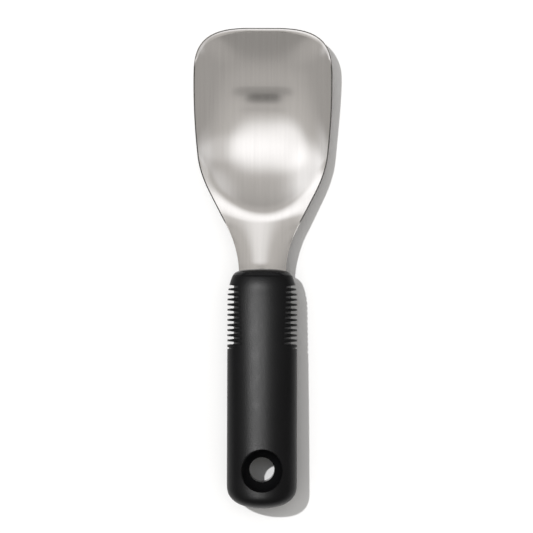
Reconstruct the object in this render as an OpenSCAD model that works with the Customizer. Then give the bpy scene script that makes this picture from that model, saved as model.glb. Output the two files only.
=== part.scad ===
// Ice cream spade lying on its back: a dished steel blade whose tang is held in a soft handle.
// Lengths run along Y from the front face of the collar: positive over the blade,
// negative over the handle. X is across and Z is up from the table.

/* [Blade] */
// Length of the steel in front of the collar
blade_l = 115.4; // [108:0.2:125]
// Greatest width of the blade
blade_w = 66.4; // [60:0.2:74]
// Distance from the collar to the widest place
widest_at = 88; // [84:1:94]
// Radius of the gently bowed sides
side_r = 294; // [240:1:400]
// Squareness of the front corners, 2 is an ellipse
corner_n = 3.4; // [2.6:0.1:4.5]
// Straight part of the digging edge
edge_flat = 16; // [10:1:22]
// Thickness of the pressed sheet
sheet_t = 2.4; // [1.8:0.1:3]
// Width of the sloping rim face, seen from above
rim_bevel = 1; // [0.4:0.1:1.6]

/* [Dish] */
// Distance from the collar to the lowest point of the dish
dish_at = 76; // [72:1:80]
// Radius of the dish along the blade
dish_r = 150; // [138:1:170]
// Rise of the side walls at the widest place
wall_rise = 9.2; // [7:0.1:10]
// Rise of the side walls at the heel
heel_rise = 6.6; // [4.5:0.1:7.5]
// Rise of the corners at the digging edge
lip_rise = 4; // [3:0.1:7]
// Steepness of the side walls, 2 is an even bowl
wall_n = 3; // [2.4:0.1:3.6]
// Distance from the collar at which the walls start to rise from the heel
heel_at = 41; // [36:1:46]
// Distance from the collar at which the walls are full
wall_full_at = 92; // [86:1:96]
// Distance from the collar at which the walls start to fall to the lip
lip_at = 97; // [94:1:102]
// Height of the soft edge between dish and neck, on the centre line
heel_soft = 1.15; // [0.8:0.05:2]
// Extra height of that edge at the sides
side_soft = 2.5; // [1:0.1:4]

/* [Neck and tang] */
// Width of the neck where it leaves the collar
neck_w = 22.4; // [20:0.1:24]
// Distance from the collar at which the shoulders open out
neck_l = 8.7; // [7:0.1:12]
// Angle of the shoulders to the centre line
shoulder_angle = 27.3; // [24:0.1:31]
// Softness of the neck's waist
waist_soft = 5.8; // [3:0.1:7]
// Softness of the shoulders' corners
shoulder_soft = 3.3; // [2:0.1:5]
// Height of the neck's ridge above the collar's middle
ridge_above = 2.3; // [1.8:0.1:2.4]
// Fall of the ridge towards the dish, per millimetre
ridge_slope = 0.07; // [0.04:0.005:0.09]
// Length over which that fall sets in
ridge_soft = 1.5; // [1:0.5:3]
// Distance from the collar at which the ridge runs level again
fall_l = 30; // [26:1:34]
// Fall of the neck from its ridge to its edges, at the collar
neck_drop = 2.1; // [1:0.1:2.6]
// Distance from the collar at which that fall is halved
crown_l = 50; // [35:1:70]
// Share of that fall that the edges win back at the shoulders
flank_lift = 0.9; // [0.5:0.05:0.95]
// Distance from the collar at which they have won it back
lift_l = 28; // [24:1:40]
// Distance from the collar at which the neck's shape starts to leave the dish upwards
run_out_at = 44; // [40:1:48]
// Length over which it leaves the dish
run_out_l = 30; // [24:1:36]
// Height by which it leaves the dish
run_out_rise = 6; // [5:0.5:8]
// Width of the tang
tang_w = 16; // [12:0.5:17]
// Distance from the handle's end to the tang's end
tang_stop = 36; // [34:1:46]

/* [Collar] */
// Width of the collar's dome
collar_w = 29.2; // [28:0.1:31]
// Height of the collar's dome
collar_h = 18.6; // [17.8:0.1:19.4]
// Length over which the dome rounds off
dome_l = 5.5; // [4.5:0.1:7]
// Part of the collar that shows in front of the grip
collar_l = 3.3; // [2.6:0.1:4]
// Length of the skirt that the grip covers
skirt_l = 5.7; // [4:0.1:7]
// Wall of the skirt
skirt_wall = 1.5; // [1.2:0.1:1.8]
// Width by which the skirt stands out past the core
skirt_out = 1.2; // [0.8:0.1:1.3]
// Clearance round the neck and in the skirt
fit_gap = 0.15; // [0.1:0.05:0.25]

/* [Core] */
// Width of the hard core
core_w = 22.4; // [20.5:0.1:23]
// Height of the hard core
core_h = 15; // [14.4:0.1:15.6]
// Rounding of the core's long edges
core_round = 5.5; // [4:0.1:6]
// Distance from the handle's end to the end of the core's thick part
core_stop = 32; // [30.5:0.5:33]
// Thickness of the flat eye at the core's end
eye_t = 7.1; // [6:0.1:8]
// Diameter of the two tang pins
pin_d = 4; // [3:0.1:5]
// Length of the tang pins
pin_l = 11; // [9:0.5:11]
// Distance from the collar to the first pin
pin_at = 22; // [16:1:28]
// Distance between the pins
pin_step = 40; // [30:1:44]
// Clearance round each pin
pin_gap = 0.05; // [0.03:0.01:0.08]

/* [Grip] */
// Length of the handle from the collar's face to its end
handle_l = 114; // [112:0.5:122]
// Width of the grip
grip_w = 33.4; // [32:0.1:36]
// Height of the grip at its end
grip_h = 24.4; // [23.5:0.1:26]
// Height of the grip behind the collar
grip_front_h = 20; // [19.6:0.1:21]
// Bow of the grip's back between these two, 0 is straight
grip_bow = 0.5; // [0:0.05:0.8]
// Squareness of the grip's oval section, 2 is an ellipse
oval_n = 2.1; // [2:0.05:2.4]
// Length over which the grip swells behind the collar
swell_l = 11.7; // [9:0.1:15]
// Length of the rounded end, seen from above
end_l = 11; // [9:0.1:12]
// Length of the rounded end, seen from the side
end_side_l = 6; // [4.5:0.1:8]
// Squareness of the rounded end
end_n = 2.4; // [2:0.1:3]
// Gap between the moulded grip and what it covers
mould_gap = 0.05; // [0.03:0.01:0.1]

/* [Fins] */
// Number of fins on each side
fin_count = 13; // [9:1:14]
// Distance from one fin to the next
fin_pitch = 2.437; // [2.2:0.001:2.6]
// Thickness of a fin
fin_t = 0.9; // [0.7:0.05:1.2]
// Distance from the collar to the first fin
fin_at = 7.4; // [6.8:0.1:9]
// Depth of the gaps between the fins, at the handle's side
fin_depth = 3.05; // [2.4:0.05:3.2]
// Depth of the shallow groove before the first fin and after the last
groove_depth = 0.8; // [0.4:0.1:1.2]
// Width of these two grooves
groove_w = 0.8; // [0.5:0.1:1.1]
// Radius of the rounded floor of the gaps
fin_floor_r = 12.5; // [11.5:0.5:18]

/* [Hanging hole] */
// Diameter of the hole in the eyelet
hole_d = 11.9; // [10:0.1:12.5]
// Distance from the handle's end to the hole's centre
hole_at = 18.5; // [18:0.1:19]
// Wall of the eyelet
eyelet_wall = 1.4; // [1:0.1:1.6]
// Length of the eyelet
eyelet_l = 8.8; // [8:0.1:9.6]
// Thickness of the eyelet's two flanges
flange_t = 0.8; // [0.6:0.1:1]
// Width by which the flanges stand out
flange_w = 1.4; // [1:0.1:1.6]
// Diameter of the funnel where it meets the grip's face
funnel_d = 20.5; // [18:0.1:21]

/* [Hidden] */
$fn = 96;

face_y = (handle_l - blade_l) / 2;
axis_z = grip_front_h / 2;
neck_z = axis_z + ridge_above;
tang_l = handle_l - tang_stop;
core_l = handle_l - core_stop;
hole_s = hole_at - handle_l;
hole_r = hole_d / 2;
skirt_s = -collar_l - skirt_l;
core_hw = core_w / 2;
core_hh = core_h / 2;
skirt_hw = core_hw + skirt_out;
spigot_hw = skirt_hw - skirt_wall - fit_gap;
spigot_hh = core_hh - skirt_wall - fit_gap;
spigot_round = core_round - skirt_wall;

// How far one solid runs into another that it joins, and a cut runs past a face
overlap = 0.5;
past = 1;
// Points round an oval ring, and strips across the sheet
ring_n = 48;
across = 32;
// Share of its length at which a dome is cut off flat
blunt = 0.985;
dome_n = 3;

steel = "#b9b7b2";
hard_black = "#141415";
core_grey = "#3a3b3d";
pin_steel = "#8f9194";
rubber = "#242526";

function clip(t) = min(max(t, 0), 1);
function ease(t) = clip(t) * clip(t) * (3 - 2 * clip(t));
function soft_min(a, b, k) = min(a, b) - pow(max(k - abs(a - b), 0), 2) / (4 * k);
function soft_max(a, b, k) = -soft_min(-a, -b, k);
function round_off(t, n) = pow(1 - pow(clip(t), n), 1 / n);

// Triangles of the skin over rings of count points each
function ring_sides(rings, count) = [
    for (i = [0 : rings - 2], j = [0 : count - 1], half = [0, 1])
        let (a = i * count + j, b = i * count + (j + 1) % count, c = a + count, d = b + count)
        half == 0 ? [a, d, b] : [a, c, d]];

// All faces of a solid of oval rings, front ring first
function ring_faces(rings) = concat(
    ring_sides(rings, ring_n),
    [[for (j = [0 : ring_n - 1]) j]],
    [[for (j = [ring_n - 1 : -1 : 0]) (rings - 1) * ring_n + j]]);

// The grip's belly lies on the table and its back rises in a bow: height of its middle at distance s
wedge_s = -collar_l - swell_l;
function wedge_share(s) = clip((wedge_s - s) / (handle_l + wedge_s));
function back_rise(s) = wedge_share(s) * (1 + grip_bow * (1 - wedge_share(s)));
function grip_mid(s) = (grip_front_h + (grip_h - grip_front_h) * back_rise(s)) / 2;
eye_z = grip_mid(hole_s);
// The core's halves meet over the tang and through the eye
part_z = max(eye_z, neck_z + fit_gap);

// One oval ring at distance s, its middle at height mid, with half width w and half height h
function oval_ring(s, mid, w, h) = [
    for (j = [0 : ring_n - 1])
        let (a = 360 * j / ring_n, c = cos(a), q = sin(a))
        let (x = w * sign(c) * pow(abs(c), 2 / oval_n), z = h * sign(q) * pow(abs(q), 2 / oval_n))
        [x, face_y + s, mid + z]];

// Outline of the steel: half width at distance s, up to the widest place
shoulder_slope = tan(shoulder_angle);
function side_line(s) = blade_w / 2 - pow(widest_at - s, 2) / (2 * side_r);
function neck_line(s) = soft_max(neck_w / 2, neck_w / 2 + (s - neck_l) * shoulder_slope, waist_soft);
function steel_hw(s) = soft_min(side_line(s), neck_line(s), shoulder_soft);
neck_hw = steel_hw(0);

// Front corners: a quarter of a squared oval, walked by angle up to the straight digging edge
corner_turn = acos(pow(edge_flat / blade_w, corner_n / 2));
corner_l = (blade_l - widest_at) / pow(sin(corner_turn), 2 / corner_n);
function corner_s(a) = widest_at + corner_l * pow(sin(a), 2 / corner_n);
function corner_hw(a) = blade_w / 2 * pow(cos(a), 2 / corner_n);

// Top face of the steel: a dish that meets the ridged neck in a soft edge
function wall(s) = heel_rise + (wall_rise - heel_rise) * ease((s - heel_at) / (wall_full_at - heel_at))
    - (wall_rise - lip_rise) * ease((s - lip_at) / (blade_l - lip_at));
function dish_top(x, s) = sheet_t + pow(s - dish_at, 2) / (2 * dish_r)
    + wall(s) * pow(2 * abs(x) / blade_w, wall_n);
function ridge(s) = neck_z + run_out_rise * ease((s - run_out_at) / run_out_l) - ridge_slope
    * (soft_max(0, s - ridge_soft, ridge_soft) - soft_max(0, s - fall_l, 4 * ridge_soft));
function flank(x, s) = pow(x / max(steel_hw(max(s, 0)), neck_hw), 2);
function crown(s) = neck_drop / (1 + max(s, 0) / crown_l);
function neck_top(x, s) = ridge(s) - crown(s) * flank(x, s) * (1 - flank_lift * ease(s / lift_l) * flank(x, s));
function steel_top(x, s) = soft_min(dish_top(x, s), neck_top(x, s),
    heel_soft + side_soft * pow(2 * x / blade_w, 2));

// Rows of the steel: distance and half width of each, from the tang's end to the digging edge
body_rows = 32;
corner_rows = 12;
rows = concat(
    [for (s = [-tang_l, -tang_l / 2, -collar_l]) [s, tang_w / 2]],
    [[-collar_l / 2, neck_hw]],
    [for (i = [0 : body_rows - 1]) let (s = widest_at * i / body_rows) [s, steel_hw(s)]],
    [for (i = [0 : corner_rows]) let (a = corner_turn * i / corner_rows) [corner_s(a), corner_hw(a)]]);
row_n = len(rows);

// The top face is drawn in by the sloping rim, which starts at the neck
function bevel(s) = rim_bevel * ease(s / neck_l / 2);
function front_bevel(s) = rim_bevel * ease((s - widest_at) / (blade_l - widest_at));
function top_row(row) = [
    for (j = [0 : across])
        let (s = row[0] - front_bevel(row[0]), x = (row[1] - bevel(row[0])) * (2 * j / across - 1))
        [x, face_y + s, steel_top(x, s)]];
function under_row(row) = [
    for (j = [across : -1 : 0])
        let (s = row[0], x = row[1] * (2 * j / across - 1))
        [x, face_y + s, steel_top(x, s) - sheet_t]];

// Circle through the neck's ridge and both its edges, for what fits round it
neck_arc_r = (pow(neck_hw, 2) + pow(neck_drop, 2)) / (2 * neck_drop);

// Oval prism from s back over the length l, with exact round edges
module bar(s, l, hw, hh, r) {
    translate([0, face_y + s, axis_z])
        rotate([90, 0, 0])
            linear_extrude(l) {
                square([2 * hw, 2 * (hh - r)], center = true);
                square([2 * (hw - r), 2 * hh], center = true);
                for (i = [-1, 1], j = [-1, 1])
                    translate([i * (hw - r), j * (hh - r)])
                        circle(r);
            }
}

// Curved slot that the neck or tang fits, hw half wide, from s back over the length l
module sheet_slot(s, l, hw, gap) {
    intersection() {
        translate([-hw - gap, face_y + s - l, 0])
            cube([2 * (hw + gap), l, neck_z + gap]);
        translate([0, face_y + s, neck_z - neck_arc_r])
            rotate([90, 0, 0])
                difference() {
                    cylinder(r = neck_arc_r + gap, h = l);
                    translate([0, 0, -past])
                        cylinder(r = neck_arc_r - sheet_t - gap, h = l + 2 * past);
                }
    }
}

// Pocket for the tang in the back half: open upwards to the parting face
module tang_pocket() {
    difference() {
        translate([-tang_w / 2 - fit_gap, face_y - tang_l - fit_gap, 0])
            cube([tang_w + 2 * fit_gap, tang_l + past, part_z + past]);
        translate([0, face_y + past, neck_z - neck_arc_r])
            rotate([90, 0, 0])
                cylinder(r = neck_arc_r - sheet_t - fit_gap, h = tang_l + 3 * past);
    }
}

// Pin, or its hole, at distance s
module pin_rod(s, gap) {
    translate([0, face_y + s, neck_z - sheet_t / 2 - pin_l / 2 - gap])
        cylinder(d = pin_d + 2 * gap, h = pin_l + 2 * gap);
}

// Space of the eyelet, for the core and the grip to clear
module eyelet_space(gap) {
    translate([0, face_y + hole_s, eye_z]) {
        cylinder(r = hole_r + eyelet_wall + gap, h = eyelet_l, center = true);
        for (side = [-1, 1])
            translate([0, 0, side * (eyelet_l - flange_t) / 2])
                cylinder(r = hole_r + eyelet_wall + flange_w + gap, h = flange_t + 2 * gap, center = true);
    }
}

// The collar's skirt, which the grip covers
module skirt(gap) {
    bar(-collar_l + overlap, skirt_l + overlap + gap, skirt_hw + gap, core_hh + gap, core_round + gap);
}

// Both halves of the core as one: spigot, thick bar and flat eye
module core_body(gap) {
    bar(-collar_l - fit_gap, skirt_l + overlap, spigot_hw, spigot_hh, spigot_round);
    bar(skirt_s - fit_gap + gap, core_l + skirt_s - fit_gap + 2 * gap, core_hw + gap, core_hh + gap,
        core_round + gap);
    difference() {
        union() {
            translate([-core_hw - gap, face_y + hole_s, eye_z - eye_t / 2 - gap])
                cube([core_w + 2 * gap, -core_l - hole_s + overlap, eye_t + 2 * gap]);
            translate([0, face_y + hole_s, eye_z - eye_t / 2 - gap])
                cylinder(r = core_hw + gap, h = eye_t + 2 * gap);
        }
        translate([0, face_y + hole_s, 0])
            cylinder(r = hole_r, h = grip_h);
    }
}

module spade_head() {
    color(steel)
        difference() {
            polyhedron(
                [for (row = rows) each concat(top_row(row), under_row(row))],
                concat(ring_sides(row_n, 2 * across + 2), sheet_caps()));
            for (i = [0, 1])
                pin_rod(-pin_at - i * pin_step, pin_gap);
        }
}

// End faces of the sheet, as strips of triangles between its top and its underside
function sheet_caps() = [
    for (first = [0, (row_n - 1) * (2 * across + 2)], j = [0 : across - 1], half = [0, 1])
        let (a = first + j, b = a + 1, c = first + 2 * across + 1 - j, d = c - 1)
        let (face = half == 0 ? [a, b, d] : [a, d, c])
        first == 0 ? face : [face[2], face[1], face[0]]];

// Size of the collar's dome at distance s, as a share of its full size
function dome_share(s) = round_off(min((dome_l + s) / dome_l, blunt), dome_n);

module neck_collar() {
    dome_rings = 7;
    blunt_s = (blunt - 1) * dome_l;
    ring_s = concat([0], [for (i = [0 : dome_rings]) blunt_s - (collar_l + blunt_s) * i / dome_rings]);
    color(hard_black)
        difference() {
            union() {
                polyhedron(
                    [for (s = ring_s)
                        let (share = dome_share(s))
                        each oval_ring(s, axis_z, collar_w / 2 * share, collar_h / 2 * share)],
                    ring_faces(len(ring_s)));
                skirt(0);
            }
            bar(-collar_l, skirt_l + past, skirt_hw - skirt_wall, core_hh - skirt_wall, spigot_round);
            sheet_slot(past, collar_l + 2 * past, neck_hw, fit_gap);
        }
}

module core_front() {
    color(core_grey)
        difference() {
            intersection() {
                core_body(0);
                translate([-core_w, face_y - handle_l, part_z])
                    cube([2 * core_w, handle_l, core_h]);
            }
            eyelet_space(pin_gap);
            for (i = [0, 1])
                pin_rod(-pin_at - i * pin_step, pin_gap);
        }
}

module core_back() {
    color(core_grey)
        difference() {
            intersection() {
                core_body(0);
                translate([-core_w, face_y - handle_l, part_z - core_h])
                    cube([2 * core_w, handle_l, core_h]);
            }
            eyelet_space(pin_gap);
            tang_pocket();
            for (i = [0, 1])
                pin_rod(-pin_at - i * pin_step, pin_gap);
        }
}

module front_tang_pin() {
    color(pin_steel)
        pin_rod(-pin_at, 0);
}

module rear_tang_pin() {
    color(pin_steel)
        pin_rod(-pin_at - pin_step, 0);
}

module hang_eyelet() {
    color(hard_black)
        difference() {
            eyelet_space(0);
            translate([0, face_y + hole_s, 0])
                cylinder(r = hole_r, h = grip_h);
        }
}

// Half width of the grip at distance s, and its half height
function mouth_share(s) = pow(1 - clip((-collar_l - s) / swell_l), 2);
function end_share(s, l) = round_off(min((l - handle_l - s) / l, blunt), end_n);
function grip_hw(s) = end_share(s, end_l)
    * (grip_w - (grip_w - collar_w * dome_share(-collar_l)) * mouth_share(s)) / 2;
function grip_hh(s) = end_share(s, end_side_l)
    * (grip_mid(s) - (grip_mid(s) - collar_h / 2 * dome_share(-collar_l)) * mouth_share(s));

// Distance of a place i steps behind the first fin, and one gap there on the right side
function fin_s(i) = -fin_at - fin_pitch * i;
module fin_gap(i, width, floor_hw) {
    difference() {
        translate([grip_w / 4, face_y + fin_s(i) - width / 2, 0])
            cube([grip_w, width, grip_h]);
        translate([floor_hw - fin_floor_r, face_y + fin_s(i) + width, grip_mid(fin_s(i))])
            rotate([90, 0, 0])
                cylinder(r = fin_floor_r, h = 2 * width);
    }
}

// Funnel that leads from the grip's face down to the eyelet. Its widest ring lies just off the face.
module funnel() {
    steps = 8;
    deep = eye_z - eyelet_l / 2 + overlap;
    translate([0, face_y + hole_s, eye_z + eyelet_l / 2])
        rotate_extrude()
            polygon(concat(
                [[0, -overlap], [hole_r, -overlap]],
                [for (i = [0 : steps])
                    [hole_r + (funnel_d / 2 - hole_r) * sin(90 * i / steps), deep * i / steps]],
                [[funnel_d / 2, deep + past], [0, deep + past]]));
}

module soft_grip() {
    mouth = [for (i = [0 : 5]) -collar_l - swell_l * i / 5];
    straight = [for (i = [1 : 5]) -collar_l - swell_l - (handle_l - end_l - collar_l - swell_l) * i / 6];
    tail = [for (a = [0 : 10 : 80]) -handle_l + end_l * (1 - pow(sin(a), 2 / end_n))];
    ring_s = concat(mouth, straight, tail, [-handle_l]);
    color(rubber)
        difference() {
            polyhedron([for (s = ring_s) each oval_ring(s, grip_mid(s), grip_hw(s), grip_hh(s))],
                ring_faces(len(ring_s)));
            skirt(mould_gap);
            core_body(mould_gap);
            eyelet_space(mould_gap);
            for (flip = [0, 1])
                mirror([flip, 0, 0]) {
                    for (i = [0 : fin_count - 2])
                        fin_gap(i + 0.5, fin_pitch - fin_t, grip_w / 2 - fin_depth);
                    for (i = [-0.5, fin_count - 0.5])
                        fin_gap(i, groove_w, grip_hw(fin_s(i)) - groove_depth);
                }
            for (flip = [0, 1])
                translate([0, 0, flip * 2 * eye_z])
                    mirror([0, 0, flip])
                        funnel();
        }
}

spade_head();
neck_collar();
core_front();
core_back();
front_tang_pin();
rear_tang_pin();
hang_eyelet();
soft_grip();
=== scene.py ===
import math

import bpy
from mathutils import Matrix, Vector


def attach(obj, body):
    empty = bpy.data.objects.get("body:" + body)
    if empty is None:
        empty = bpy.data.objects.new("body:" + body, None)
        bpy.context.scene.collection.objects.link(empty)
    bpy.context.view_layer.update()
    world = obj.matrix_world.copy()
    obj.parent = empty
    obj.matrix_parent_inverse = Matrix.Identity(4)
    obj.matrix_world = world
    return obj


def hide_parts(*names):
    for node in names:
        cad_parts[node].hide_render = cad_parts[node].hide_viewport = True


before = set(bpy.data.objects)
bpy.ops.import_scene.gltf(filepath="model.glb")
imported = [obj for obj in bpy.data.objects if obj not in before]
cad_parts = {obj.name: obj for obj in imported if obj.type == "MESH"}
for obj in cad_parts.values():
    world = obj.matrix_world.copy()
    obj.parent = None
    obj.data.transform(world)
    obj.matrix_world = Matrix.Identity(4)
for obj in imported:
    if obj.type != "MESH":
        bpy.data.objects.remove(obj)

scene = bpy.context.scene
scene.view_settings.view_transform = "Standard"
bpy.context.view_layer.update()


# Camera: looks straight down from 1.2 m. The long lens shows the spade with hardly any
# perspective, and it lies a little left of the middle, leaning 0.16 degrees to the right.

camera = bpy.data.objects.new("camera", bpy.data.cameras.new("camera"))
camera.data.sensor_width = 36.0
camera.data.lens = 168.2
camera.data.clip_start = 0.05
camera.data.clip_end = 20.0
camera.location = (0.00194, 0.0004, 1.2)
camera.rotation_euler = (0.0, 0.0, math.radians(0.16))
scene.collection.objects.link(camera)
scene.camera = camera


# Studio: an even white dome, softboxes beyond the blade's end that the steel mirrors, the dark
# camera and its arm overhead, and a small lamp at the upper left for the shadow. A second, wide
# lamp gives only the rubber grip its sheen.

def node_value(tree, source, place, value):
    """Sets an input to a number or colour, or joins it to another node's output."""
    if isinstance(value, bpy.types.NodeSocket):
        tree.links.new(value, source.inputs[place])
    else:
        source.inputs[place].default_value = value


def add_node(tree, kind, values=None, **settings):
    """Adds a node with its settings, and its inputs given by name or number."""
    node = tree.nodes.new(kind)
    for name, value in settings.items():
        setattr(node, name, value)
    for place, value in (values or {}).items():
        node_value(tree, node, place, value)
    return node


class Figure:
    """A number that a node tree works out, written as ordinary sums."""

    def __init__(self, socket):
        self.socket = socket

    def step(self, operation, *others):
        tree = self.socket.id_data
        node = tree.nodes.new("ShaderNodeMath")
        node.operation = operation
        for place, value in enumerate((self,) + others):
            node_value(tree, node, place, value.socket if isinstance(value, Figure) else value)
        return Figure(node.outputs[0])

    def __add__(self, other):
        return self.step("ADD", other)

    def __sub__(self, other):
        return self.step("SUBTRACT", other)

    def __rsub__(self, other):
        return self.step("MULTIPLY", -1.0) + other

    def __mul__(self, other):
        return self.step("MULTIPLY", other)

    def __truediv__(self, other):
        return self.step("DIVIDE", other)

    def __rtruediv__(self, other):
        return self.step("POWER", -1.0) * other

    def __pow__(self, other):
        return self.step("POWER", other)

    __radd__ = __add__
    __rmul__ = __mul__

    def least(self, other):
        return self.step("MINIMUM", other)

    def most(self, other):
        return self.step("MAXIMUM", other)

    def size(self):
        return self.step("ABSOLUTE")

    def share(self):
        return self.least(1.0).most(0.0)

    def square(self):
        return self * self

    def ease(self):
        t = self.share()
        return t * t * (3.0 - 2.0 * t)

    def soft_least(self, other, soft):
        gap = (soft - (self - other).size()).most(0.0)
        return self.least(other) - gap * gap / (4.0 * soft)

    def soft_most(self, other, soft):
        gap = (soft - (self - other).size()).most(0.0)
        return self.most(other) + gap * gap / (4.0 * soft)


world = bpy.data.worlds.new("studio")
world.use_nodes = True
scene.world = world
sky = world.node_tree
sky.nodes.clear()
sky_place = add_node(sky, "ShaderNodeTexCoord").outputs["Generated"]
way = add_node(sky, "ShaderNodeSeparateXYZ", {0: sky_place})
up = Figure(way.outputs["Z"])
sky_x = Figure(way.outputs["X"]) / up.most(0.02)
sky_y = Figure(way.outputs["Y"]) / up.most(0.02)
above = (up * 20.0).share()


def oval(x, y, half_x, half_y, soft):
    """Share of a soft-edged oval of the sky, in slopes from straight overhead."""
    far = (((sky_x - x) / half_x).square() + ((sky_y - y) / half_y).square()).step("SQRT")
    return ((1.0 - far) / soft + 0.5).ease() * above


def oval_sum(places):
    """Several ovals together, each given as its place, sizes, softness and strength."""
    total = 0.0
    for x, y, half_x, half_y, soft, strength in places:
        total = oval(x, y, half_x, half_y, soft) * strength + total
    return total


dome = 0.50 * (0.10 + 0.90 * ((up - 0.14) / 0.18).ease())
dome = dome + oval(-0.1, 0.22, 0.8, 0.36, 1.2) * 0.20
softbox = oval_sum((
    (-0.12, 0.285, 0.36, 0.16, 0.8, 0.75),      # bright patch in the dish
    (-0.62, 0.50, 0.40, 0.23, 0.9, 0.66),       # right wall
    (0.45, 0.29, 0.60, 0.09, 0.9, 0.22),        # left of the patch
    (1.10, 0.44, 0.42, 0.26, 0.9, 0.30),        # left wall
    (-1.15, 0.42, 0.35, 0.28, 0.9, 0.36),       # right wall, near the rim
    (0.48, 0.62, 0.27, 0.14, 1.1, 0.34),        # left arm of the heel's crescent
    (-0.30, 0.62, 0.22, 0.12, 1.1, 0.16)))      # right arm of the heel's crescent
dark = oval_sum((
    (0.0, -0.36, 0.85, 0.12, 0.9, 0.10),        # stand of the camera's arm
    (0.0, -0.055, 0.28, 0.03, 0.6, 0.24),       # arm
    (0.0, 0.055, 0.15, 0.012, 0.8, 0.18),       # cable
    (-0.01, -0.011, 0.085, 0.027, 0.4, 0.50)))  # camera
warm = add_node(sky, "ShaderNodeBackground", {
    "Color": (1.0, 0.98, 0.95, 1.0), "Strength": (dome - dark).most(0.0).socket})
cool = add_node(sky, "ShaderNodeBackground", {
    "Color": (0.975, 1.0, 1.05, 1.0), "Strength": softbox.socket})
both = add_node(sky, "ShaderNodeAddShader", {0: warm.outputs[0], 1: cool.outputs[0]})
add_node(sky, "ShaderNodeOutputWorld", {"Surface": both.outputs[0]})

lamp = bpy.data.objects.new("lamp", bpy.data.lights.new("lamp", "SUN"))
lamp.data.energy = 2.35
lamp.data.angle = math.radians(1.6)
lamp.rotation_mode = "QUATERNION"
lamp.rotation_quaternion = Vector((-0.44, 0.335, 1.0)).to_track_quat("Z", "Y")
lamp.visible_glossy = False
scene.collection.objects.link(lamp)

sheen_lamp = lamp.copy()
sheen_lamp.data = lamp.data.copy()
sheen_lamp.data.energy = 5.2
sheen_lamp.data.angle = math.radians(26.0)
sheen_lamp.rotation_quaternion = Vector((-0.22, 0.165, 1.0)).to_track_quat("Z", "Y")
sheen_lamp.visible_glossy = True
sheen_lamp.visible_diffuse = False
rubber_parts = bpy.data.collections.new("rubber_parts")
sheen_lamp.light_linking.receiver_collection = rubber_parts
scene.collection.objects.link(sheen_lamp)


# Floor: a wide sheet of pale matt paper. The spade lies on its back on it, and the sheet takes
# the spade's shadow.

def mesh_object(name, points, faces):
    """A mesh object at the origin, with its place in its points."""
    mesh = bpy.data.meshes.new(name)
    mesh.from_pydata(points, [], faces)
    made = bpy.data.objects.new(name, mesh)
    scene.collection.objects.link(made)
    return made


def new_material(name):
    """An empty material, its tree, and its output node."""
    material = bpy.data.materials.new(name)
    material.use_nodes = True
    material.node_tree.nodes.clear()
    return material, material.node_tree, add_node(material.node_tree, "ShaderNodeOutputMaterial")


FLOOR_HALF = 15.0
corners = [(x * FLOOR_HALF, y * FLOOR_HALF, 0.0) for x, y in ((-1, -1), (1, -1), (1, 1), (-1, 1))]
floor = mesh_object("floor", corners, [(0, 1, 2, 3)])
pale_paper, tree, out = new_material("pale_paper")
paper = add_node(tree, "ShaderNodeBsdfDiffuse", {
    "Color": (0.88, 0.88, 0.88, 1.0), "Roughness": 0.0})
node_value(tree, out, "Surface", paper.outputs[0])
floor.data.materials.append(pale_paper)


# Spade head: one stainless sheet, 2.4 mm thick. It is cut out, pressed into a dish with a
# ridged neck behind it, and its tang is pinned in the core. Its rim is ground to a slope.

HANDLE_L = 0.114
BLADE_L = 0.1154
FACE_Y = (HANDLE_L - BLADE_L) / 2
AXIS_Z = 0.010

HEAD_SIZES = {
    "Blade length": BLADE_L, "Blade width": 0.0664, "Widest at": 0.088, "Side radius": 0.294,
    "Corner squareness": 3.4, "Edge flat": 0.016, "Sheet": 0.0024, "Rim slope": 0.00045,
    "Land at sides": 0.00015, "Land in front": 0.0019, "Rim run-in": 0.016,
    "Dish at": 0.076, "Dish radius": 0.150, "Wall rise": 0.0085, "Heel rise": 0.0062,
    "Wall power": 3.0, "Lip rise": 0.0044, "Heel at": 0.046, "Wall full at": 0.092, "Lip at": 0.097,
    "Heel softness": 0.00115, "Side softness": 0.0024, "Neck width": 0.0224, "Neck length": 0.0087,
    "Shoulder angle": math.radians(27.3), "Waist softness": 0.0058, "Shoulder softness": 0.0033,
    "Neck height": AXIS_Z + 0.0024, "Flank power": 2.0, "Ridge slope": 0.07,
    "Ridge softness": 0.0015, "Fall length": 0.030, "Run-out at": 0.044, "Run-out length": 0.030,
    "Run-out rise": 0.006, "Neck drop": 0.0021, "Crown length": 0.050, "Flank lift": 0.6,
    "Lift length": 0.028, "Tang width": 0.016, "Tang length": 0.078, "Collar length": 0.0033,
}


def shape_tree(name, sizes):
    """A Geometry Nodes tree with one named input for each size, and those inputs as figures."""
    tree = bpy.data.node_groups.new(name, "GeometryNodeTree")
    tree.interface.new_socket(name="Geometry", in_out="INPUT", socket_type="NodeSocketGeometry")
    tree.interface.new_socket(name="Geometry", in_out="OUTPUT", socket_type="NodeSocketGeometry")
    for size in sizes:
        tree.interface.new_socket(name=size, in_out="INPUT", socket_type="NodeSocketFloat")
    start = tree.nodes.new("NodeGroupInput")
    end = tree.nodes.new("NodeGroupOutput")
    return tree, start, end, {size: Figure(start.outputs[size]) for size in sizes}


def blank_place(tree):
    """The X, Y and Z of the blank's points, as figures."""
    place = add_node(tree, "GeometryNodeInputPosition").outputs[0]
    parts = add_node(tree, "ShaderNodeSeparateXYZ", {0: place})
    return [Figure(socket) for socket in parts.outputs]


def stored(tree, name):
    """A number that the blank's points carry under a name."""
    made = add_node(tree, "GeometryNodeInputNamedAttribute", {"Name": name}, data_type="FLOAT")
    return Figure(made.outputs[0])


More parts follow.
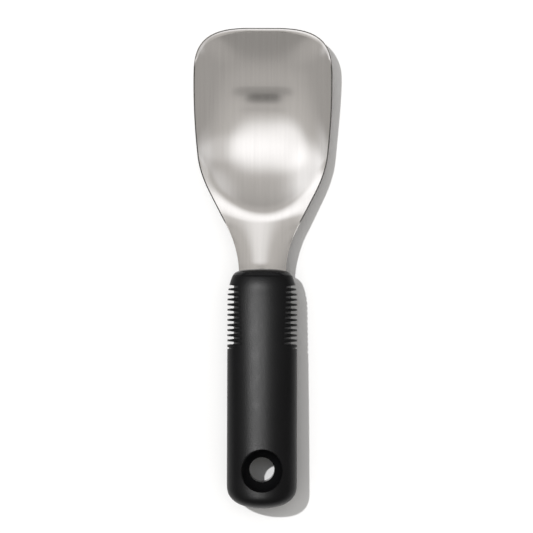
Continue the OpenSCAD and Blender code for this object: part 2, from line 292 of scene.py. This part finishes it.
def finish_shape(blank, tree, sizes):
    """Runs the tree on the blank with these sizes, and keeps the result as a plain mesh."""
    shape = blank.modifiers.new("shape", "NODES")
    shape.node_group = tree
    for item in tree.interface.items_tree:
        if item.in_out == "INPUT" and item.name in sizes:
            shape[item.identifier] = sizes[item.name]
    depsgraph = bpy.context.evaluated_depsgraph_get()
    made = bpy.data.meshes.new_from_object(blank.evaluated_get(depsgraph), depsgraph=depsgraph)
    blank.modifiers.remove(shape)
    blank.data = made
    made.name = blank.name
    return blank


def sheet_blank(name, shares, walks, edge):
    """A flat closed blank. X is the share of the half width, Y the walk along it and Z the share
    of the thickness. The edge list shapes the rim from top to underside: each entry has the
    share of the height and the shares of the ground slope and level land drawn in."""
    wide, long = len(shares), len(walks)
    points = [(x, y, 1.0) for y in walks for x in shares]
    drawn = [edge[0][1:]] * len(points)
    under = len(points)
    points += [(x, y, 0.0) for y in walks for x in shares]
    drawn += [edge[-1][1:]] * under
    faces = []
    for i in range(long - 1):
        for j in range(wide - 1):
            a = i * wide + j
            faces.append((a, a + 1, a + wide + 1, a + wide))
            a += under
            faces.append((a, a + wide, a + wide + 1, a + 1))
    rim = [j for j in range(wide)] + [i * wide + wide - 1 for i in range(1, long)]
    rim += [(long - 1) * wide + j for j in range(wide - 2, -1, -1)]
    rim += [i * wide for i in range(long - 2, 0, -1)]
    ring = list(rim)
    for height, *shares_in in edge[1:-1]:
        fresh = []
        for k in rim:
            fresh.append(len(points))
            points.append((points[k][0], points[k][1], height))
            drawn.append(tuple(shares_in))
        for k in range(len(rim)):
            n = (k + 1) % len(rim)
            faces.append((ring[k], fresh[k], fresh[n], ring[n]))
        ring = fresh
    for k in range(len(rim)):
        n = (k + 1) % len(rim)
        faces.append((ring[k], rim[k] + under, rim[n] + under, ring[n]))
    blank = mesh_object(name, points, faces)
    for place, name in enumerate(("on_slope", "on_land")):
        mark = blank.data.attributes.new(name, "FLOAT", "POINT")
        mark.data.foreach_set("value", [pair[place] for pair in drawn])
    return blank


def even(start, end, steps):
    """Evenly spaced numbers from the start up to the last one before the end."""
    return [start + (end - start) * i / steps for i in range(steps)]


rim_edge = [(1.0, 1.0, 1.0), (0.95, 1.0, 0.0), (0.79, 0.0, 0.0), (0.12, 0.0, 0.0), (0.0, 0.4, 0.0)]
collar_share = HEAD_SIZES["Collar length"] / HEAD_SIZES["Tang length"]
tang_walks = [-1.0, -0.5, -collar_share, -collar_share / 2.0]
blank_walks = tang_walks + even(0.0, 1.0, 140) + even(1.0, 2.0, 44) + [2.0]
spade_head = sheet_blank("steel_head", even(-1.0, 1.0, 96) + [1.0], blank_walks, rim_edge)

tree, start, end, size = shape_tree("pressing", HEAD_SIZES)
share_x, walk, height = blank_place(tree)
on_slope = stored(tree, "on_slope")
on_land = stored(tree, "on_land")

half_w = size["Blade width"] / 2.0
half_neck = size["Neck width"] / 2.0
widest = size["Widest at"]


def outline(s):
    """Half width of the steel at the distance s in front of the collar, up to the widest place."""
    side = half_w - (widest - s).square() / (size["Side radius"] * 2.0)
    slope = size["Shoulder angle"].step("TANGENT")
    neck = half_neck + (s - size["Neck length"]) * slope
    neck = neck.soft_most(half_neck, size["Waist softness"])
    return side.soft_least(neck, size["Shoulder softness"])


on_tang = walk.least(0.0)
on_side = walk.share()
on_corner = (walk - 1.0).share()
power = 2.0 / size["Corner squareness"]
turn = ((size["Edge flat"] / size["Blade width"]) ** (1.0 / power)).step("ARCCOSINE")
reach = (size["Blade length"] - widest) / turn.step("SINE") ** power
angle = on_corner * turn
at = on_tang * size["Tang length"] + on_side * widest + reach * angle.step("SINE") ** power
neck_half = outline(Figure(add_node(tree, "ShaderNodeValue").outputs[0]))
tang_end = ((at + size["Collar length"]) / (size["Collar length"] / 2.0)).share()
tang_half = size["Tang width"] / 2.0
behind = walk.step("LESS_THAN", 0.0)
side_half = outline(at.most(0.0).least(widest)) * angle.step("COSINE") ** power
half = side_half * (1.0 - behind) + (tang_half + (neck_half - tang_half) * tang_end) * behind

rim_x = ((at - size["Neck length"]) / size["Rim run-in"]).ease()
rim_s = ((at - widest) / (size["Blade length"] - widest)).ease()
x = share_x * (half - (on_slope * size["Rim slope"] + on_land * size["Land at sides"]) * rim_x)
s = at - (on_slope * size["Rim slope"] + on_land * size["Land in front"]) * rim_s
under = height.step("LESS_THAN", 0.001)
top_x = share_x * (half - (1.0 - under) * (size["Rim slope"] + size["Land at sides"]) * rim_x)
top_s = at - (1.0 - under) * (size["Rim slope"] + size["Land in front"]) * rim_s

across_dish = (top_x.size() / half_w) ** size["Wall power"]
full = ((top_s - size["Heel at"]) / (size["Wall full at"] - size["Heel at"])).ease()
fall = ((top_s - size["Lip at"]) / (size["Blade length"] - size["Lip at"])).ease()
wall = size["Heel rise"] + (size["Wall rise"] - size["Heel rise"]) * full
wall = wall - (size["Wall rise"] - size["Lip rise"]) * fall
dish_top = size["Sheet"] + (top_s - size["Dish at"]).square() / (size["Dish radius"] * 2.0)
dish_top = dish_top + wall * across_dish

ahead = top_s.most(0.0)
fallen = (top_s - size["Ridge softness"]).soft_most(0.0, size["Ridge softness"])
fallen = fallen - (top_s - size["Fall length"]).soft_most(0.0, size["Ridge softness"] * 4.0)
ridge_fall = size["Ridge slope"] * fallen
run_out = size["Run-out rise"] * ((top_s - size["Run-out at"]) / size["Run-out length"]).ease()
crown = size["Neck drop"] / (1.0 + ahead / size["Crown length"])
across_neck = top_x / outline(ahead.least(widest)).most(neck_half)
flank = across_neck.size() ** size["Flank power"]
lift = size["Flank lift"] * (ahead / size["Lift length"]).ease()
neck_top = size["Neck height"] - ridge_fall + run_out - crown * flank * (1.0 - lift * flank)
soft = size["Heel softness"] + size["Side softness"] * (top_x / half_w).square()
top = dish_top.soft_least(neck_top, soft)
level = top - (1.0 - height) * size["Sheet"]

placed = add_node(tree, "ShaderNodeCombineXYZ", {
    0: x.socket, 1: (s + FACE_Y).socket, 2: level.socket})
pressed = add_node(tree, "GeometryNodeSetPosition", {
    "Geometry": start.outputs[0], "Position": placed.outputs[0]})
rim_distance = (half - x.size()).least(size["Blade length"] - s)
marked = add_node(tree, "GeometryNodeStoreNamedAttribute", {
    "Geometry": pressed.outputs[0], "Name": "to_rim", "Value": rim_distance.socket},
    data_type="FLOAT", domain="POINT")
real = add_node(tree, "GeometryNodeRealizeInstances", {0: marked.outputs[0]})


def noise(tree, scale, detail=2.0, rough=0.5):
    """Noise over the piece as it lies. The scale gives its waves per metre along each axis."""
    place = add_node(tree, "ShaderNodeTexCoord").outputs["Object"]
    spread = add_node(tree, "ShaderNodeMapping", {"Vector": place, "Scale": scale}).outputs[0]
    made = add_node(tree, "ShaderNodeTexNoise", {
        "Vector": spread, "Scale": 1.0, "Detail": detail, "Roughness": rough})
    return Figure(made.outputs[0])


def blend(tree, share, first, second):
    """A colour between two others."""
    made = add_node(tree, "ShaderNodeMix", {
        0: share.share().socket, 6: first + (1.0,), 7: second + (1.0,)}, data_type="RGBA")
    return made.outputs[2]


def bump(tree, height, depth):
    """The normal of a skin whose relief is depth metres deep."""
    made = add_node(tree, "ShaderNodeBump", {
        "Strength": 1.0, "Distance": depth, "Height": height.socket})
    return made.outputs["Normal"]


brushed_steel, steel, out = new_material("brushed_steel")
hair = noise(steel, (2600.0, 45.0, 45.0), 3.0, 0.6)
strands = noise(steel, (700.0, 14.0, 14.0), 2.0)
wiped = noise(steel, (60.0, 35.0, 60.0), 2.0)
WORN_WIDTH = 0.0035
to_rim = add_node(steel, "ShaderNodeAttribute", attribute_name="to_rim")
nicks = ((noise(steel, (900.0, 900.0, 900.0), 4.0, 0.7) - 0.5) * 6.0).share()
worn = (1.0 - Figure(to_rim.outputs["Fac"]) / WORN_WIDTH).share() * nicks
steel_skin = add_node(steel, "ShaderNodeBsdfPrincipled", {
    "Base Color": blend(steel, hair * 0.55 + strands * 0.45 + worn * 0.2,
                        (0.58, 0.56, 0.543), (0.69, 0.668, 0.648)),
    "Metallic": 1.0, "Anisotropic": 0.7,
    "Roughness": (0.105 + hair * 0.03 + wiped * 0.02 + worn * 0.06).socket,
    "Normal": bump(steel, hair + strands * 0.6 + worn * 0.3, 0.0000009)})
brushing = add_node(steel, "ShaderNodeTangent", direction_type="UV_MAP", uv_map="brushing")
node_value(steel, steel_skin, "Tangent", brushing.outputs[0])
node_value(steel, out, "Surface", steel_skin.outputs[0])

finished = add_node(tree, "GeometryNodeSetMaterial", {
    "Geometry": real.outputs[0], "Material": brushed_steel})
tree.links.new(finished.outputs[0], end.inputs[0])
finish_shape(spade_head, tree, HEAD_SIZES)


def lathe(name, centre, profile, steps=96):
    """A closed ring or plug turned about a vertical line from a profile of (radius, height)."""
    points = []
    for i in range(steps):
        turn = 2.0 * math.pi * i / steps
        across, along = math.cos(turn), math.sin(turn)
        points += [(centre[0] + r * across, centre[1] + r * along, z) for r, z in profile]
    wide = len(profile)
    faces = []
    for i in range(steps):
        for j in range(wide):
            a, b = i * wide + j, i * wide + (j + 1) % wide
            c, d = (i + 1) % steps * wide + (j + 1) % wide, (i + 1) % steps * wide + j
            faces.append((a, d, c, b))
    return mesh_object(name, points, faces)


def cut_out(piece, cutter):
    """Cuts the cutter's shape out of the piece for good, and removes the cutter."""
    cut = piece.modifiers.new("cut", "BOOLEAN")
    cut.object = cutter
    cut.solver = "EXACT"
    depsgraph = bpy.context.evaluated_depsgraph_get()
    made = bpy.data.meshes.new_from_object(piece.evaluated_get(depsgraph), depsgraph=depsgraph)
    piece.modifiers.remove(cut)
    piece.data = made
    made.name = piece.name
    bpy.data.objects.remove(cutter)


PIN_HOLE_R = 0.00205
PINS_AT = (-0.022, -0.062)
ON_AXIS = 0.00001
for pin_s in PINS_AT:
    drill = [(ON_AXIS, 0.020), (ON_AXIS, 0.0), (PIN_HOLE_R, 0.0), (PIN_HOLE_R, 0.020)]
    cut_out(spade_head, lathe("pin_hole", (0.0, FACE_Y + pin_s), drill, 48))


def flat_uv(piece, name):
    """A UV map laid flat from above: U across and V along, for the brushing's direction."""
    layer = piece.data.uv_layers.new(name=name)
    points = piece.data.vertices
    for loop, uv in zip(piece.data.loops, layer.data):
        place = points[loop.vertex_index].co
        uv.uv = (place.x * 10.0, place.y * 10.0)


def smooth(piece, degrees):
    """Smooth shading, with an edge kept sharp where it turns by more than these degrees."""
    piece.data.shade_smooth()
    piece.data.set_sharp_from_angle(angle=math.radians(degrees))


flat_uv(spade_head, "brushing")
smooth(spade_head, 28.0)
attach(spade_head, "root")
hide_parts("spade_head")


# Collar: a short hard ring, moulded in glossy black plastic. The neck goes through its domed
# front, and its skirt is pushed on the core's spigot and covered by the grip.

COLLAR = {
    "width": 0.0292, "height": 0.0175, "dome": 0.0055, "length": HEAD_SIZES["Collar length"],
    "skirt_end": 0.0090, "skirt_half_width": 0.0124, "skirt_half_height": 0.0075,
    "room_half_width": 0.0109, "room_half_height": 0.0060, "skirt_squareness": 3.0,
    "bevel": 0.0002,
}
OVAL = 2.1


def squared_ring(s, mid, half_wide, half_high, power, count=128):
    """One ring of a squared oval at the distance s in front of the collar's face."""
    points = []
    for j in range(count):
        turn = 2.0 * math.pi * j / count
        c, q = math.cos(turn), math.sin(turn)
        points.append((half_wide * math.copysign(abs(c) ** (2.0 / power), c), FACE_Y + s,
                       mid + half_high * math.copysign(abs(q) ** (2.0 / power), q)))
    return points


def loft(name, rings):
    """A closed skin over rings of equal counts, from front to back, with flat ends."""
    wide = len(rings[0])
    faces = [tuple(range(wide))]
    for i in range(len(rings) - 1):
        for j in range(wide):
            n = (j + 1) % wide
            faces.append((i * wide + j, (i + 1) * wide + j, (i + 1) * wide + n, i * wide + n))
    faces.append(tuple(reversed(range((len(rings) - 1) * wide, len(rings) * wide))))
    made = mesh_object(name, [point for ring in rings for point in ring], faces)
    made.data.validate()
    return made


def dome_share(s):
    """The collar's size at s as a share of its full size."""
    return (1.0 - min(max((COLLAR["dome"] + s) / COLLAR["dome"], 0.0), 0.985) ** 3) ** (1.0 / 3.0)


def collar_ring(s, less=0.0):
    """A ring of the collar's dome, drawn in by less for a bevel."""
    half_wide = COLLAR["width"] / 2 * dome_share(s)
    half_high = COLLAR["height"] / 2 * dome_share(s)
    return squared_ring(s, AXIS_Z, half_wide - less, half_high - less, OVAL)


def skirt_ring(s, part):
    """A ring of the skirt, or of the room that the core's spigot takes in it."""
    return squared_ring(s, AXIS_Z, COLLAR[part + "_half_width"], COLLAR[part + "_half_height"],
                        COLLAR["skirt_squareness"])


dome_s = [-COLLAR["dome"] * (1.0 - math.cos(math.radians(a)) ** 0.6667) for a in range(10, 62, 3)]
bevel_s = COLLAR["bevel"] - COLLAR["length"]
rings = [collar_ring(0.0)] + [collar_ring(s) for s in dome_s if bevel_s < s < -0.0001]
rings += [collar_ring(bevel_s), collar_ring(bevel_s - 0.6 * COLLAR["bevel"], 0.25 * COLLAR["bevel"])]
rings += [collar_ring(-COLLAR["length"], COLLAR["bevel"])]
rings += [skirt_ring(-COLLAR["length"], "skirt"), skirt_ring(-COLLAR["skirt_end"], "skirt")]
collar = loft("gloss_collar", rings)

skirt_room = [skirt_ring(-COLLAR["length"], "room"), skirt_ring(-0.012, "room")]
cut_out(collar, loft("skirt_room", skirt_room))

SLOT_ROOM = 0.00015
slot_half = HEAD_SIZES["Neck width"] / 2 + SLOT_ROOM
slot_top = []
for i in range(25):
    u = -1.0 + i / 12.0
    neck_fall = HEAD_SIZES["Neck drop"] * abs(u) ** HEAD_SIZES["Flank power"]
    slot_top.append((slot_half * u, HEAD_SIZES["Neck height"] + SLOT_ROOM - neck_fall))
slot_under = [(x, z - HEAD_SIZES["Sheet"] - 2 * SLOT_ROOM) for x, z in reversed(slot_top)]
slot_line = slot_top + slot_under
slot_rings = [[(x, FACE_Y + s, z) for x, z in slot_line] for s in (0.002, -0.012)]
cut_out(collar, loft("neck_slot", slot_rings))

gloss_black, tree, out = new_material("gloss_black")
peel = noise(tree, (320.0, 320.0, 320.0), 2.0)
scuffs = ((noise(tree, (1500.0, 400.0, 900.0), 4.0, 0.7) - 0.58) * 5.0).share()
gloss_skin = add_node(tree, "ShaderNodeBsdfPrincipled", {
    "Base Color": blend(tree, peel * 0.4 + scuffs * 0.6,
                        (0.004, 0.004, 0.0045), (0.015, 0.015, 0.016)),
    "Roughness": (0.16 + peel * 0.05 + scuffs * 0.16).socket,
    "IOR": 1.49, "Specular IOR Level": 0.25,
    "Normal": bump(tree, peel + scuffs * 0.3, 0.00001)})
node_value(tree, out, "Surface", gloss_skin.outputs[0])
collar.data.materials.append(gloss_black)
smooth(collar, 32.0)
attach(collar, "root")
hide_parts("neck_collar")


# Soft grip: satin black rubber moulded over the core in a wedge that lies on the table. Thin
# fins stand on both sides behind the collar, and funnels lead to the hanging hole.

FINS = 13
GRIP_SIZES = {
    "Mouth at": COLLAR["length"],
    "Mouth half width": COLLAR["width"] / 2 * dome_share(-COLLAR["length"]),
    "Mouth half height": COLLAR["height"] / 2 * dome_share(-COLLAR["length"]),
    "Swell length": 0.0117, "Brow length": 0.0072, "Handle length": HANDLE_L,
    "Grip width": 0.0334, "Front height": 0.020, "End height": 0.0243, "Back bow": 0.8,
    "Oval squareness": OVAL, "End length": 0.011, "End side length": 0.006, "End squareness": 2.4,
    "First fin": 0.0074, "Fin pitch": 0.002437, "Fin count": float(FINS), "Fin tip": 0.0008,
    "Fin root": 0.0012, "Fin depth": 0.00305, "Floor radius": 0.0125, "Groove depth": 0.0008,
    "Groove width": 0.0008, "Mouth rounding": 0.0003,
}
AROUND = 144
mouth_walks = [-1.0, -0.98, -0.95, -0.9, -0.8, -0.6, -0.4,
               -0.25, -0.18, -0.155, -0.13, -0.105, -0.05]
fin_walks = [0.0, 0.10, 0.20, 0.25, 0.29, 0.33, 0.37, 0.41, 0.45,
             0.50, 0.55, 0.59, 0.63, 0.67, 0.71, 0.75, 0.80, 0.90]
groove_walks = [0.0, 0.002, 0.0046, 0.0054, 0.0062, 0.0070, 0.0078, 0.011]
walks = mouth_walks + [i + f for i in range(FINS) for f in fin_walks]
walks += [FINS + g for g in groove_walks] + [FINS + i / 60.0 for i in range(1, 60)]
walks += [FINS + 1.0 + i / 18.0 for i in range(18)] + [FINS + 1.985]
points = [(float(j), walk, 0.0) for walk in walks for j in range(AROUND)]
faces = [tuple(range(AROUND))]
for i in range(len(walks) - 1):
    for j in range(AROUND):
        n = (j + 1) % AROUND
        faces.append((i * AROUND + j, (i + 1) * AROUND + j, (i + 1) * AROUND + n, i * AROUND + n))
faces.append(tuple(reversed(range((len(walks) - 1) * AROUND, len(walks) * AROUND))))
grip = mesh_object("rubber_grip", points, faces)

tree, start, end, size = shape_tree("moulding", GRIP_SIZES)
around, walk, _ = blank_place(tree)
count = size["Fin count"]
pitch = size["Fin pitch"]
fins_from = size["First fin"] - pitch * 0.5
fins_to = fins_from + count * pitch
end_from = size["Handle length"] - size["End length"]
end_turn = (walk - count - 1.0).share() * (math.pi / 2.0)
back = size["Mouth at"] + (fins_from - size["Mouth at"]) * (walk + 1.0).share()
back = back + (walk.most(0.0).least(count)) * pitch + (end_from - fins_to) * (walk - count).share()
back = back + size["End length"] * end_turn.step("SINE") ** (2.0 / size["End squareness"])

wedge_from = size["Mouth at"] + size["Swell length"]
wedge = ((back - wedge_from) / (size["Handle length"] - wedge_from)).soft_most(0.0, 0.06)
wedge = wedge * (1.0 + size["Back bow"] * (1.0 - wedge))
middle = (size["Front height"] + (size["End height"] - size["Front height"]) * wedge) / 2.0
mouth = (1.0 - (back - size["Mouth at"]) / size["Swell length"]).soft_most(0.0, 0.3).square()
lip = 1.0 - (back - size["Mouth at"]) / size["Mouth rounding"]
lip = size["Mouth rounding"] * (1.0 - (1.0 - lip.share().square()).step("SQRT"))
seen_end = ((back - end_from) / size["End length"]).share().least(0.985)
side_end = (back - size["Handle length"] + size["End side length"]) / size["End side length"]
half_wide = size["Grip width"] / 2.0
half_wide = half_wide - (half_wide - size["Mouth half width"]) * mouth - lip
half_wide = half_wide * (1.0 - seen_end ** size["End squareness"]) ** (1.0 / size["End squareness"])
brow = (1.0 - (back - size["Mouth at"]) / size["Brow length"]).soft_most(0.0, 0.25).square()
half_high = middle - (middle - size["Mouth half height"]) * brow - lip
end_share = side_end.share().least(0.985)
end_share = (1.0 - end_share ** size["End squareness"]) ** (1.0 / size["End squareness"])
half_high = half_high * end_share

angle = around * (2.0 * math.pi / AROUND)
turn_x, turn_z = angle.step("COSINE"), angle.step("SINE")
oval_x = half_wide * turn_x.size() ** (2.0 / size["Oval squareness"])
oval_z = half_high * turn_z.size() ** (2.0 / size["Oval squareness"])

in_cycle = (walk - walk.step("FLOOR") - 0.5).size() * pitch
inner = (walk - count * 0.5).size().step("LESS_THAN", count * 0.5 - 0.5)
fin_side = size["Fin root"] / 2.0 - size["Fin tip"] / 2.0 + 0.00012
gap = ((in_cycle - size["Fin tip"] / 2.0) / fin_side).ease() * inner
to_groove = (back - fins_from).size().least((back - fins_to).size())
groove = ((size["Groove width"] / 2.0 + 0.0001 - to_groove) / 0.0002).ease()
floor_bow = (size["Floor radius"].square() - oval_z.square()).most(0.0).step("SQRT")
floor_bow = floor_bow - size["Floor radius"]
fin_floor = size["Grip width"] / 2.0 - size["Fin depth"] + floor_bow
groove_floor = size["Grip width"] / 2.0 - size["Groove depth"] + floor_bow
taken = (oval_x - fin_floor).soft_most(0.0, 0.0003) * gap
taken = taken + (oval_x - groove_floor).soft_most(0.0, 0.0003) * groove
x = (oval_x - taken) * turn_x.step("SIGN")
z = middle + oval_z * turn_z.step("SIGN")
placed = add_node(tree, "ShaderNodeCombineXYZ", {
    0: x.socket, 1: (FACE_Y - back).socket, 2: z.socket})
moulded = add_node(tree, "GeometryNodeSetPosition", {
    "Geometry": start.outputs[0], "Position": placed.outputs[0]})
real = add_node(tree, "GeometryNodeRealizeInstances", {0: moulded.outputs[0]})

satin_rubber, rubber, out = new_material("satin_rubber")
grain = noise(rubber, (1800.0, 1800.0, 1800.0), 1.0)
cloudy = noise(rubber, (90.0, 60.0, 90.0), 3.0)
handled = ((noise(rubber, (260.0, 120.0, 260.0), 4.0, 0.65) - 0.5) * 4.0).share()
rubber_skin = add_node(rubber, "ShaderNodeBsdfPrincipled", {
    "Base Color": blend(rubber, cloudy * 0.6 + handled * 0.4,
                        (0.0015, 0.0015, 0.0018), (0.0045, 0.0045, 0.0050)),
    "Roughness": (0.33 + cloudy * 0.08 - handled * 0.05 + grain * 0.06).socket,
    "Specular IOR Level": 0.14,
    "Normal": bump(rubber, grain + cloudy * 0.2, 0.000055)})
node_value(rubber, out, "Surface", rubber_skin.outputs[0])
finished = add_node(tree, "GeometryNodeSetMaterial", {
    "Geometry": real.outputs[0], "Material": satin_rubber})
tree.links.new(finished.outputs[0], end.inputs[0])
finish_shape(grip, tree, GRIP_SIZES)

HOLE_S = -0.0955
HOLE_R = 0.00595
FUNNEL_R = 0.01025
FUNNEL_DEPTH = 0.00765
EYE_Z = 0.01196
EYE_HALF_H = 0.0036
EYELET_HALF_H = 0.0044
CORE_HALF_W = 0.01125
CORE_HALF_H = 0.00755
core_rings = [squared_ring(s, AXIS_Z, 0.01245, CORE_HALF_H, 3.0) for s in (-0.0020, -0.00905)]
core_rings += [squared_ring(s, AXIS_Z, CORE_HALF_W, CORE_HALF_H, 3.6) for s in (-0.00906, -0.0821)]
eye_s = [-0.08211, HOLE_S]
eye_s += [HOLE_S - CORE_HALF_W * math.sin(math.radians(a)) for a in range(15, 90, 10)]
for back_s in eye_s:
    eye_half = math.sqrt(CORE_HALF_W ** 2 - min(back_s - HOLE_S, 0.0) ** 2)
    core_rings.append(squared_ring(back_s, EYE_Z, eye_half, EYE_HALF_H, 12.0))
cut_out(grip, loft("core_room", core_rings))

funnel = [(HOLE_R, EYELET_HALF_H)]
for i in range(1, 13):
    rise = i / 12.0
    widening = math.sin(math.radians(90.0 * rise)) ** 0.9
    funnel.append((HOLE_R + (FUNNEL_R - HOLE_R) * widening, EYELET_HALF_H + FUNNEL_DEPTH * rise))
funnel.append((FUNNEL_R, 0.016))
eyelet_room = [(0.00895, EYELET_HALF_H + 0.00005), (0.00895, EYE_HALF_H), (0.00755, EYE_HALF_H)]
half_cut = list(reversed(eyelet_room)) + funnel + [(ON_AXIS, 0.016)]
hole_cut = [(r, -z) for r, z in reversed(half_cut)] + half_cut
hole_cut = [(r, EYE_Z + z) for r, z in hole_cut]
cut_out(grip, lathe("hole_room", (0.0, FACE_Y + HOLE_S), hole_cut, 128))

smooth(grip, 35.0)
rubber_parts.objects.link(grip)
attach(grip, "root")
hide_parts("soft_grip")


# Eyelet: a ring of the same hard black plastic as the collar, which lines the hanging hole. Its
# two flanges clamp the flat eye at the core's end, and the grip is moulded round them.

EYELET_BEVEL = 0.0004
eyelet_line = [(HOLE_R, EYELET_BEVEL - EYELET_HALF_H), (HOLE_R + EYELET_BEVEL, -EYELET_HALF_H)]
eyelet_line += [(0.0086, -EYELET_HALF_H), (0.0089, 0.0003 - EYELET_HALF_H)]
eyelet_line += [(0.0089, -EYE_HALF_H), (0.0075, -EYE_HALF_H)]
eyelet_line += [(r, -z) for r, z in reversed(eyelet_line)]
eyelet = lathe("hole_eyelet", (0.0, FACE_Y + HOLE_S), [(r, EYE_Z + z) for r, z in eyelet_line])
eyelet.data.materials.append(gloss_black)
smooth(eyelet, 30.0)
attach(eyelet, "root")
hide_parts("hang_eyelet")


# Core halves and tang pins: two halves of dark grey nylon closed round the tang, and two plain
# turned steel pins through all three. The grip hides them, so only their finishes are given.

grey_nylon, tree, out = new_material("grey_nylon")
mottle = noise(tree, (150.0, 150.0, 150.0), 3.0)
nylon_skin = add_node(tree, "ShaderNodeBsdfPrincipled", {
    "Base Color": blend(tree, mottle, (0.034, 0.035, 0.038), (0.056, 0.057, 0.062)),
    "Roughness": (0.45 + mottle * 0.15).socket, "Normal": bump(tree, mottle, 0.00002)})
node_value(tree, out, "Surface", nylon_skin.outputs[0])

turned_steel, tree, out = new_material("turned_steel")
turning = noise(tree, (120.0, 120.0, 2600.0), 2.0)
turned_skin = add_node(tree, "ShaderNodeBsdfPrincipled", {
    "Base Color": blend(tree, turning, (0.50, 0.50, 0.51), (0.60, 0.60, 0.61)), "Metallic": 1.0,
    "Roughness": (0.25 + turning * 0.15).socket, "Normal": bump(tree, turning, 0.000005)})
node_value(tree, out, "Surface", turned_skin.outputs[0])

for node, finish in (("core_front", grey_nylon), ("core_back", grey_nylon),
                     ("front_tang_pin", turned_steel), ("rear_tang_pin", turned_steel)):
    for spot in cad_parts[node].material_slots:
        spot.material = finish
